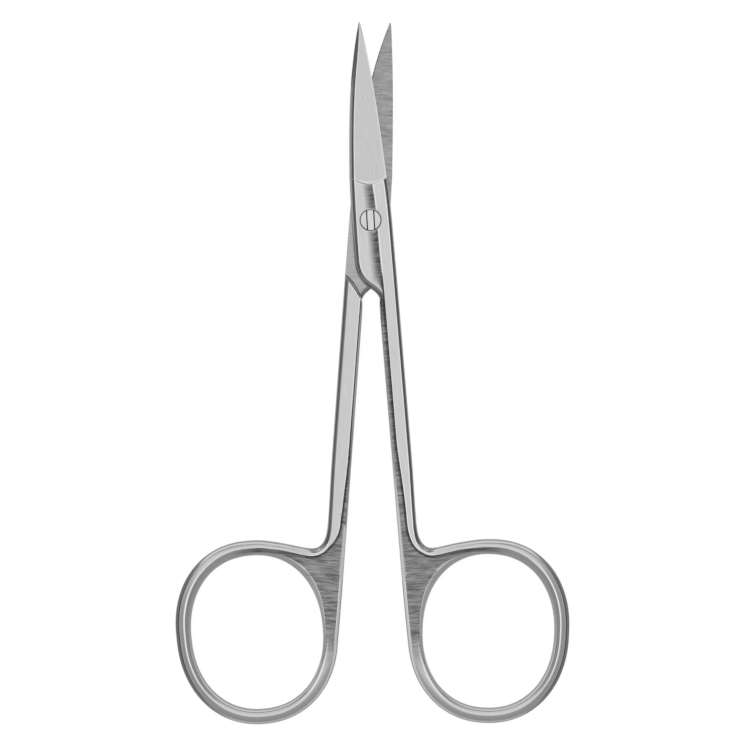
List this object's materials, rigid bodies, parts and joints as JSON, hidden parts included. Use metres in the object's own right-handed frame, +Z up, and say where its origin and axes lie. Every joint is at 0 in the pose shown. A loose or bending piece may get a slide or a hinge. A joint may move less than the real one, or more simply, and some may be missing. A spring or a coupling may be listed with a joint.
{
  "type": "fine scissors",
  "caption": "Small straight fine scissors for delicate work: flat halves on a slotted pivot screw, slim pointed blades, long slim shanks and oval finger rings.",
  "frame": {"origin": "on the pivot axis, at the flat outer face of the lower half's joint, on which the closed or open scissors lie", "axes": "+Y along the scissors towards the tips, +Z up through the thickness from the lower half to the upper half, +X towards the upper half's finger ring"},
  "size_m": [0.0505, 0.09, 0.0026],
  "materials": {
    "satin_steel_upper": "satin ground stainless steel",
    "satin_steel_lower": "satin ground stainless steel",
    "screw_steel": "turned and polished stainless steel"
  },
  "bodies": {
    "lower_body": {"lower_half": "satin_steel_lower", "pivot_screw": "screw_steel"},
    "upper_body": {"upper_half": "satin_steel_upper"}
  },
  "joints": [
    {"name": "pivot", "type": "hinge", "parent": "lower_body", "child": "upper_body", "pos_m": [0, 0, 0.0013], "axis": [0, 0, 1], "range_deg": [-9.2, 130]}
  ]
}
